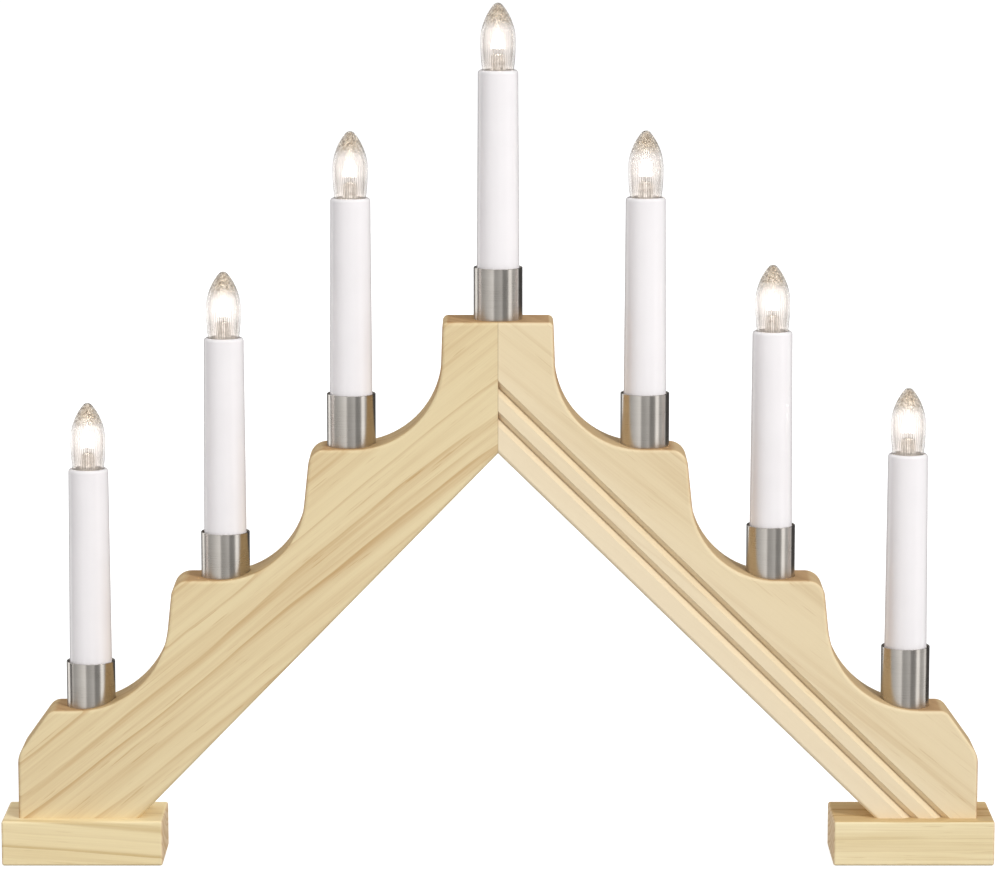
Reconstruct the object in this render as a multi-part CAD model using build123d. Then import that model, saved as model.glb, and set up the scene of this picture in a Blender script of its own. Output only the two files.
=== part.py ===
from build123d import *
from math import cos, hypot, radians, sin, sqrt, tan
import os

# Stepped wooden candle arch with seven electric candles.
# Millimetres and degrees. The origin is on the table under the middle of the arch,
# X runs along the arch, the front faces -Y and Z is up.

# Feet: one planed block under each end.
foot_height = 21.0
foot_inner_overhang = 15.75
foot_outer_overhang = 7.5
foot_front_overhang = 6.0
foot_edge_radius = 1.2

# Arms: two boards that meet in a vertical mitre over the middle.
arm_angle = 45.0
left_inner_angle = 45.8
right_inner_angle = 44.4
arm_web = 36.15
arm_edge_radius = 1.8

# Candle places along X, measured from the middle.
upper_candle_offset = 67.0
middle_candle_offset = 125.0
lower_candle_offset = 187.5

# Height from the top of the foot to the first flat. Each further flat climbs with the spacing of
# the candles at the arm's angle, and by its trim.
lower_step_rise = 50.6
middle_step_trim = -1.9
upper_step_trim = 2.55
platform_trim = -8.65

# Coves: hollow between a flat and the riser behind it.
lower_riser_gap = 32.5
middle_riser_gap = 33.0
upper_riser_gap = 39.8
lower_riser_lean = 6.0
middle_riser_lean = 6.0
upper_riser_lean = 2.0
lower_cove_radius = 42.5
middle_cove_radius = 39.0
upper_cove_radius = 39.8
nose_radius = 8.0
platform_nose_radius = 2.5

# Shoulder at the outer end of each arm, past the flat outside the lowest cove.
lower_flat = 12.2
shoulder_run = 15.0
shoulder_drop = 21.0
shoulder_top_radius = 6.0
shoulder_low_radius = 12.0

# Routed V grooves on the front of the right arm, measured from its inner edge.
groove_width = 5.0
groove_depth = 2.5
groove_first_offset = 11.6
groove_pitch = 10.0
groove_count = 2

# Wiring channel in the back of each arm.
channel_offset = 24.0
channel_width = 9.0
channel_end_past = 3.0
wire_bore_diameter = 9.0
wire_bore_dip = 3.0

# Wires of the series circuit.
wire_diameter = 1.8
wire_half_spacing = 2.2
wire_back_offset = 2.2
wire_floor_gap = 0.8
wire_lane_pitch = 2.8
wire_lane_drop = 1.5
wire_easy_bend = 6.0
wire_tight_bend = 4.0
wire_shift_bend = 3.5
wire_shift_rise = 8.0
wire_shift_dip = 1.5
wire_cover_gap = 0.3
wire_hole_gap = 0.1
wire_end_gap = 0.5

# Plastic bars that keep the wires in the channel.
clip_length = 5.0
clip_thickness = 2.5

# Bush in the back, where the lead of the lamp enters.
bush_diameter = 12.0
bush_bore_diameter = 6.4
bush_hole_gap = 0.05
bush_edge = 0.5

# Dowels across the mitre.
dowel_diameter = 6.0
dowel_length = 40.0
dowel_chamfer = 0.8
dowel_channel_gap = 1.5
dowel_hole_gap = 0.05
dowel_end_gap = 0.5

# Countersunk screws from below, through the foot into the arm.
screw_diameter = 4.0
screw_head_diameter = 7.8
screw_bite = 17.0
screw_sink = 0.6
screw_point_length = 4.0
screw_point_diameter = 0.8
screw_channel_gap = 2.5
screw_outer_inset = 12.0
screw_hole_gap = 0.1

# Metal cups sunk in the flats. The lifts are how far each cup, from left to right, stands
# above the depth that the others share.
cup_sleeve_gap = 0.65
cup_wall = 0.6
cup_floor = 0.8
cup_stand = 23.5
cup_sink = 8.0
cup_lifts = (-2.7, -2.9, 0.45, 0.1, 0.75, 0.2, 4.2)
cup_rim_flat = 0.1
cup_hole_gap = 0.1
cup_front_wall = 2.75
cup_clear_height = 16.0

# White sleeves standing in the cups.
sleeve_foot_diameter = 19.8
sleeve_wall = 1.1
sleeve_stand = 113.0
sleeve_rim_radius = 0.9
sleeve_lip = 1.4

# Lampholder inside the top of each sleeve.
holder_gap = 0.2
holder_recess_gap = 0.2
holder_recess_wall = 0.5
holder_seat_gap = 1.0
holder_shell_gap = 0.05
holder_chamber_depth = 3.4
holder_chamber_step = 1.2
holder_floor = 2.0
holder_wire_depth = 9.0
holder_edge = 0.6

# Brass screw shell and centre contact of the lampholder.
shell_wall = 0.35
shell_length = 10.0
contact_plate_gap = 0.4
contact_plate = 0.7
contact_boss_radius = 1.6
contact_touch_gap = 0.3

# Bulb, heights measured from the rim of the sleeve.
bulb_diameter = 16.0
bulb_rim_diameter = 14.2
bulb_belly_height = 12.8
bulb_height = 30.2
bulb_tip_radius = 2.6
bulb_glass = 0.6
bulb_neck_gap = 0.3
bulb_neck_drop = 4.6
bulb_neck_length = 3.0
bulb_lip_gap = 0.35

# Screw cap of the bulb.
cap_diameter = 9.5
cap_wall = 0.3
cap_neck_gap = 0.2
cap_length = 8.6
cap_thread_gap = 0.3
cap_floor = 0.5
cap_bevel = 1.2

# Contact tip of the bulb, with its insulating disc.
tip_radius = 2.4
tip_gap = 0.3
tip_flange_gap = 0.45
tip_flange_thickness = 1.0
tip_drop = 1.6
tip_dome = 0.8

# Filament and its glass stem.
stem_gap = 0.2
stem_height = 7.5
stem_top_radius = 2.2
lead_diameter = 0.6
lead_height = 14.0
lead_half_spread = 3.0
filament_diameter = 0.9
filament_rise = 2.6

cup_inner_radius = sleeve_foot_diameter / 2 + cup_sleeve_gap
cup_radius = cup_inner_radius + cup_wall
cup_hole_radius = cup_radius + cup_hole_gap
half_thickness = cup_hole_radius + cup_front_wall

arm_sine = sin(radians(arm_angle))
arm_cosine = cos(radians(arm_angle))
arm_slope = arm_sine / arm_cosine
middle_step_rise = (lower_candle_offset - middle_candle_offset) * arm_slope + middle_step_trim
upper_step_rise = (middle_candle_offset - upper_candle_offset) * arm_slope + upper_step_trim
platform_rise = upper_candle_offset * arm_slope + platform_trim
lower_step_z = foot_height + lower_step_rise
middle_step_z = lower_step_z + middle_step_rise
upper_step_z = middle_step_z + upper_step_rise
platform_z = upper_step_z + platform_rise
lower_riser_x = lower_candle_offset - lower_riser_gap
middle_riser_x = middle_candle_offset - middle_riser_gap
upper_riser_x = upper_candle_offset - upper_riser_gap


def cove_end(riser_x, lean, radius):
    # Where a cove runs out into the flat, right below its centre.
    return riser_x + radius * tan(radians((90 - lean) / 2))


def cove_reach(riser_x, step_z, lean, radius):
    # Distance of the hollow of a cove from the line through the origin at the arm's angle.
    return cove_end(riser_x, lean, radius) * arm_sine + (step_z + radius) * arm_cosine - radius


inner_edge_reach = min(
    cove_reach(lower_riser_x, lower_step_z, lower_riser_lean, lower_cove_radius),
    cove_reach(middle_riser_x, middle_step_z, middle_riser_lean, middle_cove_radius),
    cove_reach(upper_riser_x, upper_step_z, upper_riser_lean, upper_cove_radius),
) - arm_web
apex_z = inner_edge_reach / arm_cosine
arm_inner_x = (inner_edge_reach - foot_height * arm_cosine) / arm_sine
arm_half_span = cove_end(lower_riser_x, lower_riser_lean, lower_cove_radius) + lower_flat + shoulder_run
foot_outer_x = arm_half_span + foot_outer_overhang
foot_inner_x = arm_inner_x - foot_inner_overhang

inner_angles = {-1: left_inner_angle, 1: right_inner_angle}


def sloping_plane(angle):
    # Frame of a right arm: x down along the arm, y away from its inner edge, z to the front.
    fall = (cos(radians(angle)), 0, -sin(radians(angle)))
    return Plane(origin=(0, 0, apex_z), x_dir=fall, z_dir=(0, -1, 0))


arm_plane = sloping_plane(arm_angle)

# Place of each cup, from left to right, and the arms' own lists from the middle outwards.
steps = [
    (-lower_candle_offset, lower_step_z),
    (-middle_candle_offset, middle_step_z),
    (-upper_candle_offset, upper_step_z),
    (0.0, platform_z),
    (upper_candle_offset, upper_step_z),
    (middle_candle_offset, middle_step_z),
    (lower_candle_offset, lower_step_z),
]
candles = [(x, step_z + lift) for (x, step_z), lift in zip(steps, cup_lifts)]
middle = len(candles) // 2
side_candles = {
    -1: [(-x, stand_z) for x, stand_z in reversed(candles[:middle + 1])],
    1: candles[middle:],
}

wire_radius = wire_diameter / 2
wire_bore_radius = wire_bore_diameter / 2
wire_y = wire_back_offset
return_y = wire_y + wire_lane_pitch
cover_y = return_y + wire_radius + wire_cover_gap
channel_depth = half_thickness - wire_y + wire_radius + wire_floor_gap

# Radii and levels of a candle, measured from its axis and from the rim of its sleeve.
bulb_radius = bulb_diameter / 2
bulb_rim_radius = bulb_rim_diameter / 2
cap_radius = cap_diameter / 2
cap_top = -(bulb_neck_drop + cap_neck_gap)
cap_bottom = cap_top - cap_length
cap_inner_radius = cap_radius - cap_wall
cap_floor_radius = cap_inner_radius - cap_bevel + cap_floor
neck_radius = cap_inner_radius - bulb_neck_gap
neck_foot = -(bulb_neck_drop + bulb_neck_length)
tip_bottom = cap_bottom - tip_drop
lip_hole_radius = bulb_rim_radius + bulb_lip_gap

holder_top = -sleeve_lip
holder_recess_radius = bulb_rim_radius + holder_recess_gap
holder_radius = holder_recess_radius + holder_recess_wall
holder_seat = -(bulb_neck_drop + holder_seat_gap)
shell_inner_radius = cap_radius + cap_thread_gap
shell_outer_radius = shell_inner_radius + shell_wall
shell_bottom = holder_seat - shell_length
chamber_radius = shell_outer_radius - holder_chamber_step
contact_top = tip_bottom - contact_touch_gap
chamber_bottom = min(shell_bottom, contact_top) - holder_chamber_depth
holder_bottom = chamber_bottom - holder_floor - holder_wire_depth
wire_top = holder_bottom + holder_wire_depth - wire_end_gap

sleeve_length = sleeve_stand + cup_sink - cup_floor
sleeve_foot_radius = sleeve_foot_diameter / 2
sleeve_bore_radius = holder_radius + holder_gap
sleeve_top_radius = sleeve_bore_radius + sleeve_wall


def turned(points):
    # Solid of revolution about Z from points given as radius and height.
    return revolve(Plane.XZ * make_face(Polyline(*points, close=True)), Axis.Z)


def upright(radius, low, high):
    return Pos(0, 0, low) * Cylinder(radius, high - low, align=(Align.CENTER, Align.CENTER, Align.MIN))


def lane_z(x, drop):
    # Height of a line that runs along the channel, below its middle by the drop.
    reach = inner_edge_reach + channel_offset - drop
    return (reach - abs(x) * arm_sine) / arm_cosine


def channel_along(x):
    return (x - channel_offset * arm_sine) / arm_cosine


channel_end_x = lower_candle_offset + channel_end_past
channel_end_z = lane_z(channel_end_x, 0)


def arm_outline(side):
    inner_x = (apex_z - foot_height) / tan(radians(inner_angles[side]))
    middle_nose_x = lower_riser_x - middle_step_rise * tan(radians(lower_riser_lean))
    upper_nose_x = middle_riser_x - upper_step_rise * tan(radians(middle_riser_lean))
    platform_half = upper_riser_x - platform_rise * tan(radians(upper_riser_lean))
    corners = [
        ((0, apex_z), 0),
        ((0, platform_z), 0),
        ((platform_half, platform_z), platform_nose_radius),
        ((upper_riser_x, upper_step_z), upper_cove_radius),
        ((upper_nose_x, upper_step_z), nose_radius),
        ((middle_riser_x, middle_step_z), middle_cove_radius),
        ((middle_nose_x, middle_step_z), nose_radius),
        ((lower_riser_x, lower_step_z), lower_cove_radius),
        ((arm_half_span - shoulder_run, lower_step_z), shoulder_top_radius),
        ((arm_half_span, lower_step_z - shoulder_drop), shoulder_low_radius),
        ((arm_half_span, foot_height), 0),
        ((inner_x, foot_height), 0),
    ]
    points = [corner for corner, radius in corners]
    radii = [radius for corner, radius in corners]
    return make_face(FilletPolyline(*points, radius=radii, close=True))


def arm_blank(side):
    # Board with eased long edges. The glued mitre and the seat on the foot stay sharp.
    board = extrude(Plane.XZ * arm_outline(side), half_thickness, both=True)
    faces = board.faces().filter_by(Axis.Y)
    eased = []
    for edge in faces.edges():
        middle = edge @ 0.5
        if middle.X > arm_edge_radius and middle.Z > foot_height + arm_edge_radius:
            eased.append(edge)
    return fillet(eased, arm_edge_radius)


def candle_bores(x, stand_z):
    # Seat of the cup, and the bore that takes the wires down to the channel.
    seat_z = stand_z - cup_sink
    seat = upright(cup_hole_radius, seat_z, stand_z + cup_clear_height)
    bore = upright(wire_bore_radius, lane_z(x, 0) - wire_bore_dip, seat_z + cup_floor)
    return Pos(x, 0, 0) * (seat + bore)


def wiring_channel():
    start = -(channel_offset + channel_width)
    end = channel_along(channel_end_x)
    bottom = half_thickness - channel_depth / 2
    slot = Pos((start + end) / 2, channel_offset, -bottom) * Box(end - start, channel_width, channel_depth)
    mill = Pos(end, channel_offset, -bottom) * Cylinder(channel_width / 2, channel_depth)
    return arm_plane * (slot + mill)


def front_groove(offset):
    run = (arm_half_span + foot_outer_overhang) / arm_cosine
    section = make_face(Polyline(
        (offset - groove_width / 2, half_thickness),
        (offset + groove_width / 2, half_thickness),
        (offset, half_thickness - groove_depth),
        close=True,
    ))
    return sloping_plane(right_inner_angle) * Pos(-offset - groove_width, 0, 0) * extrude(Plane.YZ * section, run)


def dowel_places():
    y = (wire_bore_radius + half_thickness) / 2
    z = lane_z(0, -channel_width / 2) + dowel_channel_gap + dowel_diameter / 2
    return [Pos(0, -y, z), Pos(0, y, z)]


def dowel():
    pin = Rot(0, 90, 0) * Cylinder(dowel_diameter / 2, dowel_length)
    return chamfer(pin.edges().filter_by(GeomType.CIRCLE), dowel_chamfer)


def screw_xs():
    # The inner screw ends just below the channel.
    end_z = foot_height + screw_bite + screw_channel_gap
    reach = inner_edge_reach + channel_offset - channel_width / 2
    return [(reach - end_z * arm_cosine) / arm_sine, arm_half_span - screw_outer_inset]


def foot_screw():
    head = screw_head_diameter / 2
    shank = screw_diameter / 2
    end = foot_height + screw_bite
    return turned([
        (0, screw_sink),
        (head, screw_sink),
        (shank, screw_sink + head - shank),
        (shank, end - screw_point_length),
        (screw_point_diameter / 2, end),
        (0, end),
    ])


def screw_hole():
    head = screw_head_diameter / 2 + screw_hole_gap
    shank = screw_diameter / 2 + screw_hole_gap
    return turned([
        (0, -screw_sink),
        (head, -screw_sink),
        (head, screw_sink),
        (shank, screw_sink + head - shank),
        (shank, foot_height + screw_bite + wire_end_gap),
        (0, foot_height + screw_bite + wire_end_gap),
    ])


def plain_arm(side):
    # Both arms are made on the right, each with the inner edge and the cup seats of its own side.
    arm = arm_blank(side) - wiring_channel()
    for x, stand_z in side_candles[side]:
        arm -= candle_bores(x, stand_z)
    hole = Rot(0, 90, 0) * Cylinder(dowel_diameter / 2 + dowel_hole_gap, dowel_length + 2 * dowel_end_gap)
    for place in dowel_places():
        arm -= place * hole
    for x in screw_xs():
        arm -= Pos(x, 0, 0) * screw_hole()
    return arm


def across_back(radius, near_y, far_y):
    # Round bar along Y at the low end of the right channel.
    middle = Pos(channel_end_x, (near_y + far_y) / 2, channel_end_z)
    return middle * Rot(90, 0, 0) * Cylinder(radius, far_y - near_y)


def right_arm():
    arm = plain_arm(1)
    arm -= across_back(bush_diameter / 2 + bush_hole_gap, cover_y, half_thickness + bush_edge)
    for index in range(groove_count):
        arm -= front_groove(groove_first_offset + index * groove_pitch)
    return arm


def cord_inlet_bush():
    bush = across_back(bush_diameter / 2, cover_y, half_thickness)
    bush -= across_back(bush_bore_diameter / 2, cover_y - bush_edge, half_thickness + bush_edge)
    return bush


def foot(side):
    size = Box(foot_outer_x - foot_inner_x, 2 * (half_thickness + foot_front_overhang), foot_height)
    block = Pos(side * (foot_outer_x + foot_inner_x) / 2, 0, foot_height / 2) * size
    block = fillet(block.edges(), foot_edge_radius)
    for x in screw_xs():
        block -= Pos(side * x, 0, 0) * screw_hole()
    return block


def wire_clips():
    # One bar across the channel in the middle of each stretch between two candles.
    bars = []
    bar = Box(clip_length, channel_width, clip_thickness)
    for upper, lower in zip(side_candles[1], side_candles[1][1:]):
        along = channel_along((upper[0] + lower[0]) / 2)
        place = Pos(along, channel_offset, -(cover_y + clip_thickness / 2))
        bars.append(arm_plane * place * bar)
    return bars + [mirror(piece, about=Plane.YZ) for piece in bars]


def wire(points, radii):
    path = FilletPolyline(*points, radius=radii)
    section = Plane(origin=path @ 0, z_dir=path % 0) * Circle(wire_radius)
    return sweep(section, path=path)


def jumper(upper, lower, side):
    upper_x, upper_z = upper
    lower_x, lower_z = lower
    top_x = upper_x + wire_half_spacing
    low_x = lower_x - wire_half_spacing
    points = [
        (side * top_x, wire_y, upper_z + sleeve_stand + wire_top),
        (side * top_x, wire_y, lane_z(top_x, wire_lane_drop)),
        (side * low_x, wire_y, lane_z(low_x, wire_lane_drop)),
        (side * low_x, wire_y, lower_z + sleeve_stand + wire_top),
    ]
    return wire(points, [wire_easy_bend, wire_tight_bend])


def return_wire():
    # From the last candle on the left, over the middle, to the inlet on the right.
    candle_x, stand_z = candles[0]
    x = candle_x - wire_half_spacing
    points = [
        (x, wire_y, stand_z + sleeve_stand + wire_top),
        (x, wire_y, lane_z(x, 0) + wire_shift_rise),
        (x, return_y, lane_z(x, 0) - wire_shift_dip),
        (0, return_y, lane_z(0, 0)),
        (channel_end_x, return_y, channel_end_z),
    ]
    return wire(points, [wire_shift_bend, wire_shift_bend, wire_easy_bend])


def feed_wire():
    candle_x, stand_z = candles[-1]
    x = candle_x + wire_half_spacing
    top = stand_z + sleeve_stand + wire_top
    return Pos(x, wire_y, 0) * upright(wire_radius, lane_z(x, wire_lane_drop), top)


def series_wires():
    wires = []
    for side in (-1, 1):
        for upper, lower in zip(side_candles[side], side_candles[side][1:]):
            wires.append(jumper(upper, lower, side))
    return wires + [return_wire(), feed_wire()]


def cup():
    # Heights from the flat that a cup of no lift stands in.
    bottom = -cup_sink
    body = turned([
        (wire_bore_radius, bottom),
        (cup_radius, bottom),
        (cup_radius, cup_stand),
        (cup_inner_radius, cup_stand),
        (cup_inner_radius, bottom + cup_floor),
        (wire_bore_radius, bottom + cup_floor),
    ])
    rim = body.faces().sort_by(Axis.Z)[-1].edges()
    return fillet(rim, (cup_wall - cup_rim_flat) / 2)


def sleeve():
    # Heights from the rim.
    bottom = -sleeve_length
    body = turned([
        (sleeve_foot_radius - sleeve_wall, bottom),
        (sleeve_foot_radius, bottom),
        (sleeve_top_radius, 0),
        (lip_hole_radius, 0),
        (lip_hole_radius, -sleeve_lip),
        (sleeve_bore_radius, -sleeve_lip),
    ])
    rim = body.faces().sort_by(Axis.Z)[-1].edges().sort_by(SortBy.RADIUS)[-1]
    return fillet(rim, sleeve_rim_radius)


def lampholder():
    seat_radius = shell_outer_radius + holder_shell_gap
    body = turned([
        (0, holder_bottom),
        (holder_radius - holder_edge, holder_bottom),
        (holder_radius, holder_bottom + holder_edge),
        (holder_radius, holder_top),
        (holder_recess_radius, holder_top),
        (holder_recess_radius, holder_seat),
        (seat_radius, holder_seat),
        (seat_radius, shell_bottom),
        (chamber_radius, shell_bottom),
        (chamber_radius, chamber_bottom),
        (0, chamber_bottom),
    ])
    for side in (-1, 1):
        hole = upright(wire_radius + wire_hole_gap, holder_bottom, holder_bottom + holder_wire_depth)
        body -= Pos(side * wire_half_spacing, wire_y, 0) * hole
    return body


def screw_shell():
    return turned([
        (shell_inner_radius, shell_bottom),
        (shell_outer_radius, shell_bottom),
        (shell_outer_radius, holder_seat),
        (shell_inner_radius, holder_seat),
    ])


def centre_contact():
    plate_radius = chamber_radius - contact_plate_gap
    return turned([
        (0, chamber_bottom),
        (plate_radius, chamber_bottom),
        (plate_radius, chamber_bottom + contact_plate),
        (contact_boss_radius, chamber_bottom + contact_plate),
        (contact_boss_radius, contact_top),
        (0, contact_top),
    ])


def bulb_side(inset):
    # Half outline of the bulb, from the top on the axis down to the foot of the neck.
    belly = bulb_radius - inset
    tip = bulb_tip_radius - inset
    tip_z = bulb_height - bulb_tip_radius
    climb = tip_z - bulb_belly_height
    sweep_radius = (bulb_radius ** 2 + climb ** 2 - bulb_tip_radius ** 2) / (2 * (bulb_radius - bulb_tip_radius))
    offset = sweep_radius - bulb_radius
    span = hypot(offset, climb)
    meet = (tip * offset / span, tip_z + tip * climb / span)
    tip_middle = tip * sqrt((1 + climb / span) / 2)
    tip_side = tip * sqrt((1 - climb / span) / 2)
    flank_z = bulb_belly_height + climb / 2
    flank = sqrt((sweep_radius - inset) ** 2 - (climb / 2) ** 2) - offset
    fall = bulb_radius - bulb_rim_radius
    low_radius = (fall ** 2 + bulb_belly_height ** 2) / (2 * fall)
    low_z = bulb_belly_height / 2
    low = sqrt((low_radius - inset) ** 2 - low_z ** 2) - low_radius + bulb_radius
    rim = sqrt((low_radius - inset) ** 2 - bulb_belly_height ** 2) - low_radius + bulb_radius
    neck = neck_radius - inset
    shoulder_x = neck + (rim - neck) * sin(radians(60))
    shoulder_z = -bulb_neck_drop * (1 - cos(radians(60)))
    return [
        ThreePointArc((0, tip_z + tip), (tip_side, tip_z + tip_middle), meet),
        ThreePointArc(meet, (flank, flank_z), (belly, bulb_belly_height)),
        ThreePointArc((belly, bulb_belly_height), (low, low_z), (rim, 0)),
        ThreePointArc((rim, 0), (shoulder_x, shoulder_z), (neck, -bulb_neck_drop)),
        Line((neck, -bulb_neck_drop), (neck, neck_foot)),
    ]


def bulb_glass_shell():
    outer = bulb_side(0)
    inner = bulb_side(bulb_glass)
    top = Line(outer[0] @ 0, inner[0] @ 0)
    foot_line = Line(outer[-1] @ 1, inner[-1] @ 1)
    return revolve(Plane.XZ * make_face(outer + inner + [top, foot_line]), Axis.Z)


def bulb_cap():
    hole = tip_radius + tip_gap
    return turned([
        (hole, cap_bottom),
        (cap_radius - cap_bevel, cap_bottom),
        (cap_radius, cap_bottom + cap_bevel),
        (cap_radius, cap_top),
        (cap_inner_radius, cap_top),
        (cap_inner_radius, cap_bottom + cap_bevel),
        (cap_floor_radius, cap_bottom + cap_floor),
        (hole, cap_bottom + cap_floor),
    ])


def bulb_contact():
    seat = cap_bottom + cap_floor
    flange = cap_floor_radius - tip_flange_gap
    return turned([
        (0, tip_bottom),
        (tip_radius - tip_dome, tip_bottom),
        (tip_radius, tip_bottom + tip_dome),
        (tip_radius, seat),
        (flange, seat),
        (flange, seat + tip_flange_thickness),
        (0, seat + tip_flange_thickness),
    ])


def bulb_filament():
    # Glass stem in the neck, two leads on it, and the hoop of the filament between them.
    neck = neck_radius - bulb_glass - stem_gap
    stem = turned([
        (0, neck_foot),
        (neck, neck_foot),
        (neck, -bulb_neck_drop),
        (stem_top_radius, stem_height),
        (0, stem_height),
    ])
    half = lead_half_spread
    lead_foot = stem_top_radius / 2
    mount = stem
    for side in (-1, 1):
        path = Line((side * lead_foot, 0, 0), (side * half, 0, lead_height))
        mount += sweep(Plane(origin=path @ 0, z_dir=path % 0) * Circle(lead_diameter / 2), path=path)
    hoop = ThreePointArc((-half, 0, lead_height), (0, 0, lead_height + filament_rise), (half, 0, lead_height))
    ring = Plane(origin=hoop @ 0, z_dir=hoop % 0) * Circle(filament_diameter / 2)
    mount += sweep(ring, path=hoop)
    return mount


def save(name, pieces):
    if isinstance(pieces, list):
        pieces = Compound(children=[Part(piece.wrapped) for piece in pieces])
    export_step(pieces, "parts/" + name + ".step")


def main():
    os.makedirs("parts", exist_ok=True)
    save("left_arm", mirror(plain_arm(-1), about=Plane.YZ))
    save("right_arm", right_arm())
    save("left_foot", foot(-1))
    save("right_foot", foot(1))
    save("mitre_dowels", [place * dowel() for place in dowel_places()])
    save("foot_screws", [Pos(side * x, 0, 0) * foot_screw() for side in (-1, 1) for x in screw_xs()])
    save("cord_inlet_bush", cord_inlet_bush())
    save("wire_clips", wire_clips())
    save("series_wires", series_wires())
    rims = [Pos(x, 0, stand_z + sleeve_stand) for x, stand_z in candles]
    save("holder_screw_shells", [rim * screw_shell() for rim in rims])
    save("holder_contacts", [rim * centre_contact() for rim in rims])
    shapes = {
        "candle_{}_sleeve": sleeve(),
        "candle_{}_lampholder": lampholder(),
        "bulb_{}_glass": bulb_glass_shell(),
        "bulb_{}_cap": bulb_cap(),
        "bulb_{}_contact": bulb_contact(),
        "bulb_{}_filament": bulb_filament(),
    }
    one_cup = cup()
    for number, (x, stand_z) in enumerate(candles, 1):
        save("candle_{}_cup".format(number), Pos(x, 0, stand_z) * one_cup)
        for name, shape in shapes.items():
            save(name.format(number), rims[number - 1] * shape)


main()
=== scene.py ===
import math
import bpy
import numpy as np
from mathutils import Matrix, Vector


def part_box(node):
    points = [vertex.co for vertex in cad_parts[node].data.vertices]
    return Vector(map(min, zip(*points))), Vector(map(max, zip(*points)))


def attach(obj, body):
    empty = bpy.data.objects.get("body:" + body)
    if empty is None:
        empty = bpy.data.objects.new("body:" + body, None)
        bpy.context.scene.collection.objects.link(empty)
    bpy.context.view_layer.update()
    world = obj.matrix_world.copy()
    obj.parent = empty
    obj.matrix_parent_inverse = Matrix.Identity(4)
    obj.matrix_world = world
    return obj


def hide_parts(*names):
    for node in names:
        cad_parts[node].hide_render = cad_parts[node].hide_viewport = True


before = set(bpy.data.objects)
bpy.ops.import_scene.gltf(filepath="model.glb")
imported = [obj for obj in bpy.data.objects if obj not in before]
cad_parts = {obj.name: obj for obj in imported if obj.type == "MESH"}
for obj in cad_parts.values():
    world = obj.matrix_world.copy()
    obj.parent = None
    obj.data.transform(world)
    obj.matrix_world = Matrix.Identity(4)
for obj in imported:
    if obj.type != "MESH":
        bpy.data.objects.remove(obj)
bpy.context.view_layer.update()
scene = bpy.context.scene
scene.view_settings.view_transform = "Standard"
mm = 0.001
inMm = 1000  # turns metres into millimetres, in which the grain is measured
fullTurn = 2 * math.pi
candles = range(1, 8)  # left to right
ribCount = 52  # ribs round a bulb, in its mesh and in its finish
print("frame loaded,", len(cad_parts), "nodes")


# camera

cameraLook = {
    "targetHeight": 0.1973, "sideStep": 0.0009, "distance": 2.1, "downTilt": 8.9,
    "focalPixels": 4595, "pictureWidth": 1000, "sensorWidth": 36, "farthest": 100,
}


def placeCamera(look):
    tilt = math.radians(look["downTilt"])
    data = bpy.data.cameras.new("photoCamera")
    data.sensor_fit = "HORIZONTAL"
    data.sensor_width = look["sensorWidth"]
    data.lens = look["focalPixels"] / look["pictureWidth"] * look["sensorWidth"]
    data.clip_end = look["farthest"]
    camera = bpy.data.objects.new("photoCamera", data)
    camera.location = (
        look["sideStep"],
        -look["distance"] * math.cos(tilt),
        look["targetHeight"] + look["distance"] * math.sin(tilt),
    )
    camera.rotation_euler = (math.pi / 2 - tilt, 0, 0)
    scene.collection.objects.link(camera)
    scene.camera = camera


placeCamera(cameraLook)
print("camera placed")


# shader maths

class Sock:  # a socket of a node tree that takes + - * / ** and abs, with the reflected forms in use
    def __init__(self, tree, out=None):
        self.tree = tree
        self.out = out

    def node(self, kind, settings=None, sockets=None, output=0):
        made = self.tree.nodes.new(kind)
        for key, value in (settings or {}).items():
            if key == "stops":
                fillRamp(made.color_ramp, value)
            else:
                setattr(made, key, value)
        for key, value in (sockets or {}).items():
            if isinstance(value, Sock):
                self.tree.links.new(value.out, made.inputs[key])
            else:
                made.inputs[key].default_value = value
        return Sock(self.tree, made.outputs[output])

    def maths(self, operation, *values):
        return self.node("ShaderNodeMath", {"operation": operation}, dict(enumerate(values)))

    def __add__(self, other):
        return self.maths("ADD", self, other)

    def __radd__(self, other):
        return self.maths("ADD", other, self)

    def __sub__(self, other):
        return self.maths("SUBTRACT", self, other)

    def __rsub__(self, other):
        return self.maths("SUBTRACT", other, self)

    def __mul__(self, other):
        return self.maths("MULTIPLY", self, other)

    def __rmul__(self, other):
        return self.maths("MULTIPLY", other, self)

    def __truediv__(self, other):
        return self.maths("DIVIDE", self, other)

    def __pow__(self, other):
        return self.maths("POWER", self, other)

    def __abs__(self):
        return self.maths("ABSOLUTE", self)


def fillRamp(ramp, stops):
    while len(ramp.elements) < len(stops):
        ramp.elements.new(1)
    for element, (place, colour) in zip(ramp.elements, stops):
        element.position = place
        element.color = colour


def tone(red, green, blue):  # a colour written as it shows on a screen, 0 to 255, made linear
    value = np.array([red, green, blue]) / 255
    linear = np.where(value > 0.04045, ((value + 0.055) / 1.055) ** 2.4, value / 12.92)
    return (*linear.tolist(), 1)


def grey(level):
    return (level, level, level, 1)


def blendColour(factor, first, second, mode="MIX"):
    start = next(value for value in (factor, first, second) if isinstance(value, Sock))
    settings = {"data_type": "RGBA", "blend_type": mode}
    return start.node("ShaderNodeMix", settings, {0: factor, 6: first, 7: second}, 2)


def rise(value, low, high):  # 0 under low, 1 over high, smooth between
    settings = {"interpolation_type": "SMOOTHSTEP"}
    return value.node("ShaderNodeMapRange", settings, {"Value": value, "From Min": low, "From Max": high})


def dot(vector, direction):
    settings = {"operation": "DOT_PRODUCT"}
    return vector.node("ShaderNodeVectorMath", settings, {0: vector, 1: direction}, "Value")


def joined(x, y, z):
    return x.node("ShaderNodeCombineXYZ", None, {0: x, 1: y, 2: z})


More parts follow.
